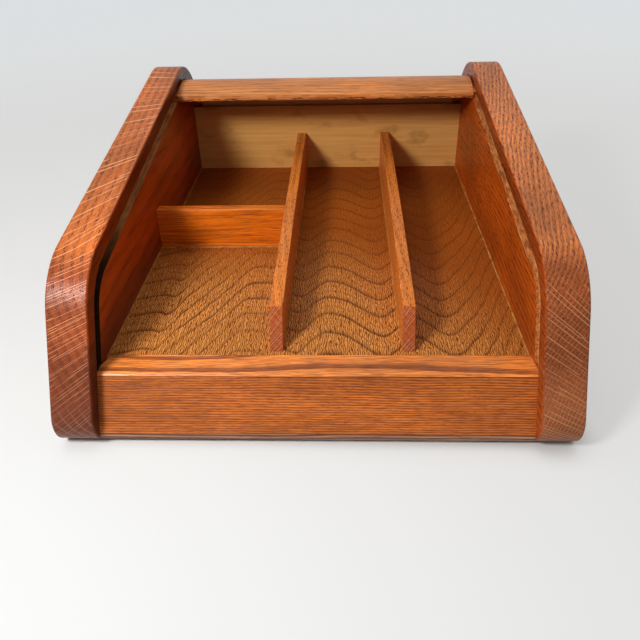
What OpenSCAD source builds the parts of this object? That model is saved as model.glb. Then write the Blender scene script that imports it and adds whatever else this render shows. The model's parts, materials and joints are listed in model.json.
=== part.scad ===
// Roll-top desk organizer in oak: two thick sides with a curtain groove, a leaning front rail,
// a raised tray with three dividers, and a slatted curtain that stows behind and under the tray.
// The origin is on the table, at the middle of the width and of the depth. X runs to the right,
// Y to the back and Z up. Every section below is drawn in the plane of Y and Z.

/* [Carcass] */
// Width between the two sides
inner_w = 198; // [150:1:320]
// Thickness of each side board
side_t = 19; // [15:0.5:28]
// Overall depth, from the toe to the back edge
depth = 296; // [270:1:380]
// Overall height at the back
height = 111; // [104:1:150]
// Slope of the top edge, in degrees
slope_a = 9; // [6:0.5:11]
// Lean of the front edge from upright, in degrees
lean_a = 27.5; // [20:0.5:32]
// Radius of the top back corner
back_r = 45; // [42:0.5:48]
// Radius of the shoulder, where the top edge turns down to the front
shoulder_r = 38; // [30:1:60]
// Radius of the toe, at the bottom of the front edge
toe_r = 13; // [6:1:18]
// Radius of the heel, at the bottom of the back edge
heel_r = 3; // [1:0.5:6]
// Depth of the housings in the sides that hold the boards' ends
housing_d = 5; // [3:0.5:7]

/* [Curtain groove] */
// Width of the lip between a side's edge and the groove
lip_w = 8; // [7:0.5:10]
// Width of the groove
groove_w = 6; // [5.5:0.25:7]
// Depth of the groove into the side
groove_d = 8; // [6:0.5:10]
// How far the groove runs on past the last slat, under the tray
groove_spare = 10; // [4:1:30]

/* [Curtain] */
// Distance from one slat to the next
slat_pitch = 12; // [11:0.25:13]
// Gap between two slats that lie flat
slat_gap = 0.4; // [0.2:0.1:1]
// Thickness of a slat
slat_t = 4.4; // [3.5:0.1:4.6]
// Height of the crown on a slat's show face
slat_crown = 1.2; // [0.4:0.1:2]
// Thickness of the canvas behind the slats
canvas_t = 0.5; // [0.3:0.1:1]
// Distance of the canvas from each side
canvas_margin = 6; // [2:1:20]
// Width of the lead rail, from its front edge to its back edge
rail_w = 28; // [24:0.5:32]
// Thickness of the lead rail at its middle
rail_t = 6.4; // [6:0.1:8]
// Radius of the lead rail's rounded top
rail_crown_r = 40; // [34:1:80]
// Radius of the lead rail's top front edge
rail_nose_r = 2; // [0.5:0.25:2.5]
// Length of the lead rail's tongues along the groove
tongue_l = 14; // [8:0.5:16]
// Thickness of the tongues
tongue_t = 4.2; // [3:0.1:4.6]
// Distance from the tongue's front end to the rail's front edge
tongue_set = 1.5; // [1:0.5:4]
// How far the open lead rail's front edge lies in front of the top back corner's curve
rail_rest = 17.8; // [16:0.1:24]

/* [Tray] */
// Height of the tray floor above the table
floor_h = 30; // [26:0.5:36]
// Thickness of the tray floor
floor_t = 6; // [4:0.5:8]
// Thickness of the wall behind the tray
wall_t = 3; // [2:0.25:5]
// Gap between the wall's back and the groove behind it
wall_gap = 3.5; // [2.5:0.25:6]

/* [Front rail] */
// Height of the front rail's top above the tray floor
front_rise = 2; // [1:0.5:5]
// Thickness of the front rail
front_t = 12; // [9:0.5:16]
// How far the front rail's face is set back from the sides' front edges
front_recess = 7.5; // [5:0.25:9]
// Radius of the front rail's top front edge
front_top_r = 3; // [1:0.5:5]
// Radius of the front rail's bottom front edge
front_foot_r = 5.4; // [1:0.2:7]
// Gap between the front rail and the table
front_foot = 0.6; // [0.4:0.1:2]
// Diameter of the dowels that join the front rail to the sides
dowel_dia = 6; // [4:0.5:8]
// Length of a dowel, half of it in the rail and half in the side
dowel_l = 28; // [20:1:30]
// Height of the lower dowels above the table
dowel_low = 11; // [8:0.5:13]
// Height of the upper dowels above the table
dowel_high = 23; // [20:0.5:25]

/* [Dividers] */
// Thickness of the dividers
divider_t = 6.3; // [5:0.1:8]
// Height of the long dividers at the back
divider_h = 27.4; // [24:0.5:32]
// Height of the long dividers at the front
divider_front_h = 19; // [15:0.5:22]
// Radius of the long arc that a long divider's top follows from the wall to its front end
divider_crown_r = 2200; // [1800:50:5000]
// Gap between the long dividers' front ends and the front rail
divider_set = 5.6; // [3:0.2:12]
// Place of the left divider's middle
left_divider_x = -18.8; // [-40:0.1:0]
// Place of the right divider's middle
right_divider_x = 43.7; // [20:0.1:60]
// Distance from the wall to the cross divider's back face
cross_set = 127.2; // [60:0.2:180]
// Height of the cross divider
cross_h = 25; // [20:0.5:26]

/* [Back and bottom panels] */
// Thickness of the back and bottom panels
panel_t = 3; // [2:0.25:3.5]
// How far the back panel is set in from the sides' back edges
back_set = 2.5; // [1.5:0.25:3]
// How far the back panel rises above the start of the top back corner's curve
back_rise = 8; // [0:0.5:10]
// How far the bottom panel lies above the table
bottom_set = 2; // [1:0.25:2.5]

/* [Fits] */
// Gap all round a board's end in its housing
fit_gap = 0.1; // [0.05:0.05:0.2]
// Gap all round a dowel in its bore
dowel_gap = 0.05; // [0.03:0.01:0.1]
// Gap between the curtain and the groove's inner wall
run_gap = 0.3; // [0.2:0.05:0.5]
// Gap between the curtain's ends and the groove's bottom, and between the lead rail and the sides
end_gap = 0.8; // [0.4:0.1:1.5]
// Gap between the lead rail's back edge and the first slat
lead_gap = 0.4; // [0.2:0.1:1]
// Gap between the curtain and the edges of the tray floor and the wall that it passes
pass_gap = 1.5; // [1:0.1:2]

/* [Hidden] */
slat_count = 18;

$fn = 96;
// Overcut that opens a housing or a groove at the side's inner face
open_cut = 1;
// How far a corner's waste reaches past the corner, as a share of its length
waste_reach = 0.2;

function unit(a) = [cos(a), sin(a)];

// An edge is [angle of its outward normal, distance from the origin]. Where two edges meet, moved in:
function meet(e1, e2, inset) =
    let (d1 = e1[1] - inset, d2 = e2[1] - inset, a1 = e1[0], a2 = e2[0])
    [d1 * sin(a2) - d2 * sin(a1), d2 * cos(a1) - d1 * cos(a2)] / sin(a2 - a1);
function next(list, i) = list[(i + 1) % len(list)];
function corner(edges, i, inset) = meet(edges[i], next(edges, i), inset);

// Area inside a ring of edges, each moved in by inset, with corner i rounded to radii[i] less the inset
module rounded_area(edges, radii, inset = 0) {
    difference() {
        polygon([for (i = [0 : len(edges) - 1]) corner(edges, i, inset)]);
        for (i = [0 : len(edges) - 1])
            if (radii[i] > inset && radii[i] > 0)
                corner_waste(edges, i, radii[i], inset);
    }
}

module corner_waste(edges, i, r, inset) {
    centre = corner(edges, i, r);
    tip = corner(edges, i, inset);
    difference() {
        polygon([
            centre,
            centre + (r - inset) * unit(edges[i][0]),
            tip + waste_reach * (tip - centre),
            centre + (r - inset) * unit(next(edges, i)[0])
        ]);
        translate(centre) circle(r - inset);
    }
}

// A section drawn in Y and Z, made solid from x0 to x1
module board(x0, x1) {
    translate([x0, 0, 0]) rotate([90, 0, 90]) linear_extrude(x1 - x0) children();
}

// Edges and corners of a side: bottom, back, sloping top and leaning front
back_c = [depth / 2 - back_r, height - back_r];
toe_c = [toe_r - depth / 2, toe_r];
slope_n = 90 + slope_a;
front_n = 180 - lean_a;
slope_d = unit(slope_n) * back_c + back_r;
front_d = unit(front_n) * toe_c + toe_r;
side_edges = [[-90, 0], [0, depth / 2], [slope_n, slope_d], [front_n, front_d]];
side_radii = [heel_r, back_r, shoulder_r, toe_r];

// The wall behind the tray stands in front of the groove
wall_y = depth / 2 - lip_w - groove_w - wall_gap - wall_t;

// The curtain's path is the back face of its slats, run_gap off the groove's inner wall
path_in = lip_w + groove_w - run_gap;
path_r = back_r - path_in;

// Widest curve that turns a right angle round an edge that lies a and b inside its two straight runs
function turn_r(a, b, gap) =
    let (m = a + b - gap)
    m + sqrt(m * m - a * a - b * b + gap * gap);
under_path_r = turn_r(wall_gap + run_gap, floor_h - floor_t - path_in, pass_gap);
under_r = under_path_r + path_in;
under_c = [depth / 2 - under_r, under_r];
groove_radii = [under_r, back_r, shoulder_r, toe_r];

leg_1 = PI / 180 * path_r * slope_n;
leg_2 = leg_1 + back_c[1] - under_c[1];
leg_3 = leg_2 + PI / 2 * under_path_r;

// Outward normal of the path, and its point, at a distance s behind the slope's end
function path_n(s) =
    s < 0 ? slope_n :
    s < leg_1 ? slope_n * (1 - s / leg_1) :
    s < leg_2 ? 0 :
    s < leg_3 ? -90 * (s - leg_2) / (leg_3 - leg_2) : -90;
function path_p(s) =
    s < 0 ? back_c + path_r * unit(slope_n) - s * unit(slope_n + 90) :
    s < leg_1 ? back_c + path_r * unit(path_n(s)) :
    s < leg_2 ? back_c + [path_r, leg_1 - s] :
    s < leg_3 ? under_c + under_path_r * unit(path_n(s)) : under_c + [leg_3 - s, -under_path_r];
// A point t along and n outward from the path's point at s
function off_path(s, t, n) = path_p(s) + t * unit(path_n(s) - 90) + n * unit(path_n(s));

slat_w = slat_pitch - slat_gap;
slat_l = inner_w + 2 * (groove_d - end_gap);
first_slat = rail_w - rail_rest + lead_gap + slat_w / 2;
function slat_s(i) = first_slat + i * slat_pitch;
curtain_end = slat_s(slat_count - 1) + slat_w / 2;
groove_end_y = under_c[0] + leg_3 - curtain_end - groove_spare;

// Edges of the front rail, the tray and the dividers
front_top = floor_h + front_rise;
front_back_d = front_d - front_recess - front_t;
front_edges = [[-90, -front_foot], [-lean_a, -front_back_d], [90, front_top], [front_n, front_d - front_recess]];
front_radii = [0, 0, front_top_r, front_foot_r];
// The wall ends just under the curtain's top back curve
wall_reach = path_r - pass_gap;
wall_top = back_c[1] + sqrt(pow(wall_reach, 2) - pow(wall_y + wall_t - back_c[0], 2));
// The long dividers' top corners at the wall and at the front, and the blank that their arc is cut from
divider_end = [front_n, front_back_d - divider_set];
divider_back = [wall_y, floor_h + divider_h];
divider_front = meet(divider_end, [90, floor_h + divider_front_h], 0);
divider_blank = [[-90, -floor_h], [0, wall_y], [90, floor_h + 2 * divider_h], divider_end];

inner_x = inner_w / 2;
outer_x = inner_x + side_t;
cross_y = wall_y - cross_set;
back_y = depth / 2 - back_set;
back_top = back_c[1] + back_rise;

// Middle of the front rail's thickness at a height, where a dowel lies
function dowel_at(z) = meet([front_n, front_d - front_recess - front_t / 2], [90, z], 0);

// Sections of the boards, each grown by gap for its housing

// A flat board from z0 to z1 that runs from the front rail's back face to y1
module level_section(z0, z1, y1, gap = 0) {
    rounded_area([[-90, -z0], [0, y1], [90, z1], [front_n, front_back_d - gap]], [0, 0, 0, 0], -gap);
}

module upright_section(y0, y1, z0, z1, gap = 0) {
    translate([y0 - gap, z0 - gap]) square([y1 - y0 + 2 * gap, z1 - z0 + 2 * gap]);
}

module floor_section(gap = 0) level_section(floor_h - floor_t, floor_h, wall_y + wall_t, gap);
module bottom_section(gap = 0) level_section(bottom_set, bottom_set + panel_t, back_y - panel_t, gap);
module wall_section(gap = 0) upright_section(wall_y, wall_y + wall_t, floor_h, wall_top, gap);
module back_section(gap = 0) upright_section(back_y - panel_t, back_y, bottom_set, back_top, gap);

// The groove follows the side's outline at a constant distance, from the front rail up over the
// shoulder and the slope, down the back and forward under the tray
module groove_section() {
    difference() {
        rounded_area(side_edges, groove_radii, lip_w);
        rounded_area(side_edges, groove_radii, lip_w + groove_w);
        translate([-depth, -height]) square([depth + groove_end_y, height + front_top]);
    }
}

// The two dowels at one end of the front rail
module dowel_section(r) {
    for (z = [dowel_low, dowel_high])
        translate(dowel_at(z)) circle(r);
}

module side_board() {
    difference() {
        board(-outer_x, -inner_x) rounded_area(side_edges, side_radii);
        board(-inner_x - groove_d, open_cut - inner_x) groove_section();
        board(-inner_x - dowel_l / 2, open_cut - inner_x) dowel_section(dowel_dia / 2);
        board(-inner_x - housing_d, open_cut - inner_x) floor_section(fit_gap);
        board(-inner_x - housing_d, open_cut - inner_x) wall_section(fit_gap);
        board(-inner_x - housing_d, open_cut - inner_x) back_section(fit_gap);
        board(-inner_x - housing_d, open_cut - inner_x) bottom_section(fit_gap);
    }
}

module left_side() color("#A5622F") side_board();
module right_side() color("#A5622F") mirror([1, 0, 0]) side_board();

// A board that is housed in both sides
module housed() {
    reach = inner_x + housing_d - fit_gap;
    board(-reach, reach) children();
}

module front_rail() color("#B56F3A") difference() {
    board(-inner_x, inner_x) rounded_area(front_edges, front_radii);
    for (end = [-inner_x, inner_x])
        board(end - dowel_l / 2, end + dowel_l / 2) dowel_section(dowel_dia / 2);
}

module rail_dowels() color("#D9BE8C") {
    reach = dowel_l / 2 - fit_gap;
    for (end = [-inner_x, inner_x])
        board(end - reach, end + reach) dowel_section(dowel_dia / 2 - dowel_gap);
}

module tray_floor() color("#A8742E") housed() floor_section();
module tray_wall() color("#C9A46B") housed() wall_section();
module back_panel() color("#8A6238") housed() back_section();
module bottom_panel() color("#8A6238") housed() bottom_section();

// A long divider, under an arc through its two top corners
module long_divider(x) {
    span = divider_back - divider_front;
    down = [span[1], -span[0]] / norm(span);
    centre = (divider_back + divider_front) / 2 + down * sqrt(pow(divider_crown_r, 2) - span * span / 4);
    board(x - divider_t / 2, x + divider_t / 2) intersection() {
        rounded_area(divider_blank, [0, 0, 0, 0]);
        translate(centre) circle(divider_crown_r, $fn = 1440);
    }
}

module left_divider() color("#9C5A2E") long_divider(left_divider_x);
module right_divider() color("#9C5A2E") long_divider(right_divider_x);
module cross_divider() color("#B8632C")
    board(fit_gap - inner_x, left_divider_x - divider_t / 2)
        upright_section(cross_y - divider_t, cross_y, floor_h, floor_h + cross_h);

// A section drawn along and outward from the path's point at s
module at_path(s) {
    translate(path_p(s)) rotate(path_n(s) - 90) children();
}

// The lead rail: flat below, crowned above, with tongues cut on its ends to fit the grooves
module rail_section() {
    rail_edges = [[-90, 0], [0, rail_w], [90, rail_t], [180, 0]];
    intersection() {
        rounded_area(rail_edges, [0, 0, 0, rail_nose_r / 2]);
        translate([rail_w / 2, rail_t - rail_crown_r]) circle(rail_crown_r, $fn = 180);
    }
}

module lead_rail() color("#BE7A40") {
    body_x = inner_x - end_gap;
    tongue_x = inner_x + groove_d - end_gap;
    union() {
        board(-body_x, body_x) at_path(-rail_rest) rail_section();
        board(-tongue_x, tongue_x) at_path(-rail_rest)
            translate([tongue_set, 0]) square([tongue_l, tongue_t]);
    }
}

// A slat: flat where the canvas is glued, crowned on its show face
module slat_section() {
    rise = slat_crown;
    half = slat_w / 2;
    crown_r = (half * half + rise * rise) / (2 * rise);
    intersection() {
        translate([-half, 0]) square([slat_w, slat_t]);
        translate([0, slat_t - crown_r]) circle(crown_r);
    }
}

module slat(i) color(i % 2 == 0 ? "#B8733B" : "#AD6A35")
    board(-slat_l / 2, slat_l / 2) at_path(slat_s(i)) slat_section();

// The canvas lies flat under each slat and bends between two of them
module curtain_canvas() color("#B9AE96") {
    half = slat_w / 2;
    face = [for (i = [0 : slat_count - 1]) for (t = [-half, half]) off_path(slat_s(i), t, 0)];
    back = [for (i = [slat_count - 1 : -1 : 0]) for (t = [half, -half]) off_path(slat_s(i), t, -canvas_t)];
    reach = inner_x - canvas_margin;
    board(-reach, reach) polygon(concat(face, back));
}

left_side();
right_side();
front_rail();
rail_dowels();
tray_floor();
tray_wall();
back_panel();
bottom_panel();
left_divider();
right_divider();
cross_divider();
lead_rail();
curtain_canvas();
slat(0);  // slat_01
slat(1);  // slat_02
slat(2);  // slat_03
slat(3);  // slat_04
slat(4);  // slat_05
slat(5);  // slat_06
slat(6);  // slat_07
slat(7);  // slat_08
slat(8);  // slat_09
slat(9);  // slat_10
slat(10);  // slat_11
slat(11);  // slat_12
slat(12);  // slat_13
slat(13);  // slat_14
slat(14);  // slat_15
slat(15);  // slat_16
slat(16);  // slat_17
slat(17);  // slat_18
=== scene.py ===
"""Looks of a roll-top desk organizer in red oak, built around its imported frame.

Everything is in metres, in the frame of the CAD model: X to the right, Y to the back, Z up, with
the origin on the table at the middle of the width and of the depth. Finishes are worked out in
millimetres.
"""

import json
import logging
import math
from collections.abc import Callable, Sequence
from dataclasses import dataclass, field, replace
from enum import Enum

import bmesh
import bpy
import numpy as np
from mathutils import Matrix, Vector, noise


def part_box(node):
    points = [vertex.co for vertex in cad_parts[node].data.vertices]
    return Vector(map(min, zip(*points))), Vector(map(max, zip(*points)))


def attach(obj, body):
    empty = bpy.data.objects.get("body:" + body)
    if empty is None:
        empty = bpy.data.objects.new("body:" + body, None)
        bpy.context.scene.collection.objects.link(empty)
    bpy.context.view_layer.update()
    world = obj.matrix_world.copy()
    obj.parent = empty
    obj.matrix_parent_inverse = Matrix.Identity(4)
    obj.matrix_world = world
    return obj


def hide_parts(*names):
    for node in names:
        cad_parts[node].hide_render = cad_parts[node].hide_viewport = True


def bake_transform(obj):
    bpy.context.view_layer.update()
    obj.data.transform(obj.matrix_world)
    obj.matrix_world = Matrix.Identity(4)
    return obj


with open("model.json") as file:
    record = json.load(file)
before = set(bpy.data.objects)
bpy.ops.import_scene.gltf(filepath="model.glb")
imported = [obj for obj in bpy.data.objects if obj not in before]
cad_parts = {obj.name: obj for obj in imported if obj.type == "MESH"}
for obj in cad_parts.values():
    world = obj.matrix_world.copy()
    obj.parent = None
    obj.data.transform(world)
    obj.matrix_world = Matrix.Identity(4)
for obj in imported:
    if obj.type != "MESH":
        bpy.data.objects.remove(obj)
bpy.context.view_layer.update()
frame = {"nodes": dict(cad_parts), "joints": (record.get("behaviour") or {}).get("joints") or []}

LOG = logging.getLogger("organizer")
MM = 0.001
CARCASS = "carcass"
LEAD = "curtain_front"

Colour = tuple[float, float, float, float]
Wired = float | tuple | bpy.types.Node | bpy.types.NodeSocket
Inputs = dict[int | str, Wired]
Tree = bpy.types.NodeTree
Mesh = bmesh.types.BMesh

# Settings that many nodes share
TIMES = {"operation": "MULTIPLY"}
TIMES_PLUS = {"operation": "MULTIPLY_ADD"}
ABSOLUTE = {"operation": "ABSOLUTE"}
FRACTION = {"operation": "FRACT"}
DIVIDED = {"operation": "DIVIDE"}
SINE = {"operation": "SINE"}
DOT = {"operation": "DOT_PRODUCT"}
LENGTH = {"operation": "LENGTH"}
SMOOTH = {"interpolation_type": "SMOOTHSTEP"}
BLEND = {"data_type": "RGBA"}
TINT = {"data_type": "RGBA", "blend_type": "MULTIPLY"}
# The range that nearly all of a noise lies in
MIDDLE = {"From Min": 0.3, "From Max": 0.7}

# Angles between faces: still one flat face, an edge to round, an edge to shade as sharp
FLAT = math.radians(0.5)
CREASE = math.radians(28)
SHARP = math.radians(38)
# Distances at which points are welded, and at which one lies on a plane
WELD = 0.002 * MM
TOUCH = 0.0001 * MM


class Grain(Enum):
    """The axis that a board's fibres run along."""

    ACROSS = (1.0, 0.0, 0.0)
    DEEP = (0.0, 1.0, 0.0)


# Node helpers


def linear(code: str) -> Colour:
    """Turn an sRGB hex colour into linear light.

    Args:
        code: The colour as "#RRGGBB".

    Returns:
        Linear red, green, blue and an alpha of 1.
    """
    parts = [int(code[i:i + 2], 16) / 255 for i in (1, 3, 5)]
    curve = [c / 12.92 if c <= 0.04045 else ((c + 0.055) / 1.055) ** 2.4 for c in parts]
    return (*curve, 1.0)


def new_tree(name: str) -> Tree:
    """Make an empty node material.

    Args:
        name: The material's name.

    Returns:
        The material's tree.
    """
    material = bpy.data.materials.new(name)
    material.use_nodes = True
    material.node_tree.nodes.clear()
    return material.node_tree


def add(
    tree: Tree, kind: str, settings: dict[str, object] | None = None, inputs: Inputs | None = None
) -> bpy.types.Node:
    """Add a node with its settings and links.

    Args:
        tree: The tree that gets the node.
        kind: The node's type, without the ShaderNode in front.
        settings: Attributes of the node.
        inputs: For each input, a number or tuple, a socket, or a node, which gives its first output.

    Returns:
        The new node.
    """
    node = tree.nodes.new("ShaderNode" + kind)
    for name, value in (settings or {}).items():
        setattr(node, name, value)
    for key, value in (inputs or {}).items():
        if isinstance(value, bpy.types.Node):
            value = value.outputs[0]
        if isinstance(value, bpy.types.NodeSocket):
            tree.links.new(value, node.inputs[key])
        else:
            node.inputs[key].default_value = value
    return node


def set_stops(ramp: bpy.types.Node, stops: Sequence[tuple[float, float]], easing: str = "EASE") -> None:
    """Give a colour ramp its grey stops.

    Args:
        ramp: A colour ramp node.
        stops: Position and grey level of each stop, in order.
        easing: The ramp's interpolation.
    """
    band = ramp.color_ramp
    band.interpolation = easing
    while len(band.elements) < len(stops):
        band.elements.new(1.0)
    for element, (place, level) in zip(band.elements, stops):
        element.position = place
        element.color = (level, level, level, 1.0)


# Finishes


@dataclass(frozen=True)
class Finish:
    """A material named for a real one. Each kind draws its own pattern, in millimetres."""

    name: str

    def material(self) -> bpy.types.Material:
        """Build the material.

        Returns:
            The finished material.
        """
        tree = new_tree(self.name)
        relief, surface = self.pattern(tree, add(tree, "TexCoord"))
        surface["Normal"] = add(tree, "Bump", None, relief)
        add(tree, "OutputMaterial", None, {"Surface": add(tree, "BsdfPrincipled", None, surface)})
        return bpy.data.materials[self.name]

    def pattern(self, tree: Tree, seat: bpy.types.Node) -> tuple[Inputs, Inputs]:
        """Draw the pattern.

        Args:
            tree: The material's tree.
            seat: The texture coordinates.

        Returns:
            The inputs of the relief, and those of the shader without its normal.
        """
        raise NotImplementedError


@dataclass(frozen=True)
class Oak(Finish):
    """Red oak, planed, stained and wiped with satin varnish.

    The wood is solid: growth rings lie round a pith that runs along the fibres, rows of open pores
    stand in the early wood of each ring, and thin rays run out from the pith. A cut across the
    rays shows them as pale lines, a cut along the fibres shows the pores as dark dashes, and the
    open end grain drinks more stain, so it looks darker. Lengths are in millimetres.
    """

    grain: Grain
    # Where the pith passes, in the plane across the fibres, and if the board lies half round it
    pith: tuple[float, float]
    turned: bool = False
    ring: float = 3.8
    ring_show: float = 0.6
    early_share: float = 0.42
    wave: float = 1.4
    late: str = "#C4733F"
    early: str = "#A9592D"
    pore: str = "#5B2B16"
    ray: str = "#E6AE7C"
    pore_width: float = 0.72
    pore_length: float = 9.0
    pore_depth: float = 0.9
    # How much of the pores is left outside the early wood, and how big they are in their cells
    pore_spread: float = 0.15
    pore_reach: float = 0.38
    # How much duller a pore is than the varnish round it
    pore_dull: float = 0.25
    fibre: float = 1.7
    ray_gap: float = 1.7
    ray_width: float = 0.2
    ray_show: float = 0.8
    # Colour that multiplies the end grain
    end_tint: str = "#D8D0D0"
    streak: float = 0.16
    tone: float = 0.14
    roughness: float = 0.36
    specular: float = 0.2
    shift: float = 0.0
    # Colour of painted shade that multiplies the face that looks into the tray, and the way that face looks
    # along X
    inner_shade_tint: str = "#FFFFFF"
    inner_way: float = 0.0
    # How much of the rings and of the pores shows on that face
    inner_rings: float = 1.0
    inner_pores: float = 1.0
    # Height above the table below which the board darkens, and the colour it darkens to: scuffs near the
    # table, and painted shade higher up on the left side
    foot: float = 0.0
    scuff_and_shade: str = "#5E4438"
    # Heights between which pale lines of painted glint show on the ring edges towards the foot, and their
    # colour
    glint_heights: tuple[float, float] = (-1.0, -2.0)
    glint: str = "#D49A7C"

    def pattern(self, tree: Tree, seat: bpy.types.Node) -> tuple[Inputs, Inputs]:
        """Draw the wood.

        Args:
            tree: The material's tree.
            seat: The texture coordinates.

        Returns:
            The inputs of the relief, and those of the shader without its normal.
        """
        log = Log(self, tree, seat)
        pores = log.pores()
        rays = log.rays()
        fibre = add(tree, "TexNoise", None, {
            "Vector": add(tree, "VectorMath", TIMES, {
                0: log.wood, 1: (self.fibre, 0.03 * self.fibre, self.fibre)}),
            "Scale": 1.0, "Detail": 3.0, "Roughness": 0.6})
        rough = add(tree, "MapRange", None, {
            "Value": pores, "To Min": self.roughness, "To Max": self.roughness + self.pore_dull})
        height = add(tree, "Math", TIMES_PLUS, {
            0: pores, 1: -self.pore_depth, 2: add(tree, "Math", TIMES, {0: fibre, 1: 0.3})})
        return ({"Strength": 0.35, "Distance": 0.3 * MM, "Height": height},
                {"Base Color": log.colour(pores, rays, fibre), "Roughness": rough, "IOR": 1.5,
                 "Specular IOR Level": self.specular})


class Log:
    """The tree that an oak board was sawn from, as nodes."""

    # Radius at which the way round the pith is measured
    arc: float = 110.0
    # How fast the rings sway and the tone changes, along the fibres and across them
    sway: tuple[float, float, float] = (0.03, 0.007, 0.03)
    patch: tuple[float, float, float] = (0.04, 0.012, 0.04)
    # How fast one ray gives way to the next, out from the pith and along the fibres
    ray_run: tuple[float, float] = (0.03, 0.036)

    def __init__(self, oak: Oak, tree: Tree, seat: bpy.types.Node) -> None:
        """Find where a point lies in the log, and how far it is in the early wood of its ring.

        The wood's own directions are the distance from the pith, the way along the fibres and the
        way round the pith, all in millimetres.

        Args:
            oak: The board's sizes and colours.
            tree: The material's tree.
            seat: The texture coordinates.
        """
        self.oak = oak
        self.tree = tree
        self.seat = seat
        across = oak.grain is Grain.ACROSS
        side = -1.0 if oak.turned else 1.0
        first = oak.pith[0] if across else -oak.pith[0]
        # Brings the fibres along Y, and a turned board half round the pith
        self.turn = (0.0, 0.0, math.pi / 2 if across else 0.0)
        self.flip = (1.0, side, side) if across else (side, 1.0, side)
        self.place = add(tree, "Mapping", None, {
            "Vector": seat.outputs["Object"], "Location": (side * first, oak.shift, -side * oak.pith[1]),
            "Rotation": self.turn, "Scale": tuple(part / MM for part in self.flip)})
        x, y, z = add(tree, "SeparateXYZ", None, {0: self.place}).outputs[:3]
        self.outward = add(tree, "VectorMath", TIMES, {0: self.place, 1: (1.0, 0.0, 1.0)})
        reach = add(tree, "VectorMath", LENGTH, {0: self.outward}).outputs["Value"]
        angle = add(tree, "Math", {"operation": "ARCTAN2"}, {0: z, 1: x})
        sway = add(tree, "TexNoise", None, {
            "Vector": add(tree, "VectorMath", TIMES, {0: self.place, 1: self.sway}),
            "Scale": 1.0, "Detail": 2.0})
        swayed = add(tree, "Math", TIMES_PLUS, {0: sway, 1: 2 * oak.wave, 2: reach})
        self.wood = add(tree, "CombineXYZ", None, {
            0: swayed, 1: y, 2: add(tree, "Math", TIMES, {0: angle, 1: self.arc})})
        turns = add(tree, "Math", DIVIDED, {0: swayed, 1: oak.ring})
        self.early = add(tree, "ValToRGB", None, {0: add(tree, "Math", FRACTION, {0: turns})})
        share = oak.early_share
        set_stops(self.early, [
            (0.0, 1.0), (0.7 * share, 0.85), (1.2 * share, 0.05), (0.93, 0.0), (1.0, 0.9)])

    def pores(self) -> bpy.types.Node:
        """Open pores: crowded in the early wood, few and fine in the late wood.

        They are drawn about twice as wide as real ones, which are too fine to show.

        Returns:
            How far a place is in a pore, from 0 to 1.
        """
        oak, tree = self.oak, self.tree
        wide, long = 1 / oak.pore_width, 1 / oak.pore_length
        # Cells per millimetre across and along the fibres, a pore's reach in its cell, its rim and depth
        kinds = ((wide, long, oak.pore_reach, 0.18, 1.0), (0.6 * wide, 1.3 * long, 0.24, 0.12, 0.55))
        crowded, few = (
            add(tree, "MapRange", SMOOTH, {
                "Value": add(tree, "TexVoronoi", None, {
                    "Vector": add(tree, "VectorMath", TIMES, {0: self.wood, 1: (across, along, across)}),
                    "Scale": 1.0}).outputs["Distance"],
                "From Min": reach, "From Max": reach - rim, "To Max": depth})
            for across, along, reach, rim, depth in kinds)
        share = add(tree, "MapRange", None, {"Value": self.early, "To Min": oak.pore_spread})
        crowded = add(tree, "Math", TIMES, {0: crowded, 1: share})
        return add(tree, "Math", {"operation": "MAXIMUM"}, {0: crowded, 1: few})

    def rays(self) -> bpy.types.Node:
        """Rays: thin sheets that run out from the pith and along the fibres.

        They show on a face that they run along, and not on one that faces the pith.

        Returns:
            How far a place is in a ray, from 0 to 1.
        """
        oak, tree = self.oak, self.tree
        scaled = add(tree, "VectorMath", TIMES, {0: self.wood, 1: (*self.ray_run, 1 / oak.ray_gap)})
        cells = add(tree, "TexVoronoi", None, {"Vector": scaled, "Scale": 1.0})
        gap = add(tree, "VectorMath", {"operation": "SUBTRACT"}, {0: scaled, 1: cells.outputs["Position"]})
        off = add(tree, "Math", ABSOLUTE, {0: add(tree, "SeparateXYZ", None, {0: gap}).outputs[2]})
        half = oak.ray_width / 2 / oak.ray_gap
        sheet = add(tree, "MapRange", SMOOTH, {
            "Value": off, "From Min": 1.5 * half, "From Max": 0.5 * half})
        worth = add(tree, "MapRange", None, {
            "Value": add(tree, "SeparateColor", None, {0: cells.outputs["Color"]}),
            "From Min": 0.1, "From Max": 0.8, "To Min": 0.15 * oak.ray_show, "To Max": oak.ray_show})
        face = add(tree, "Mapping", {"vector_type": "VECTOR"}, {
            "Vector": self.seat.outputs["Normal"], "Rotation": self.turn, "Scale": self.flip})
        outward = add(tree, "VectorMath", {"operation": "NORMALIZE"}, {0: self.outward})
        facing = add(tree, "VectorMath", DOT, {0: face, 1: outward}).outputs["Value"]
        squared = add(tree, "Math", TIMES, {0: facing, 1: facing})
        along = add(tree, "MapRange", SMOOTH, {"Value": squared, "From Min": 0.42, "From Max": 0.0})
        return add(tree, "Math", TIMES, {0: add(tree, "Math", TIMES, {0: sheet, 1: worth}), 1: along})

    def colour(self, pores: bpy.types.Node, rays: bpy.types.Node, fibre: bpy.types.Node) -> Wired:
        """Lay the stain over the rings, and pores, rays, a painted glint, painted shade and scuffs over the
        stain.

        Args:
            pores: How far a place is in a pore.
            rays: How far it is in a ray.
            fibre: Fine streaks along the fibres.

        Returns:
            The colour.
        """
        oak, tree = self.oak, self.tree
        normal = self.seat.outputs["Normal"]
        height = add(tree, "SeparateXYZ", None, {0: self.seat.outputs["Object"]}).outputs[2]
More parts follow.
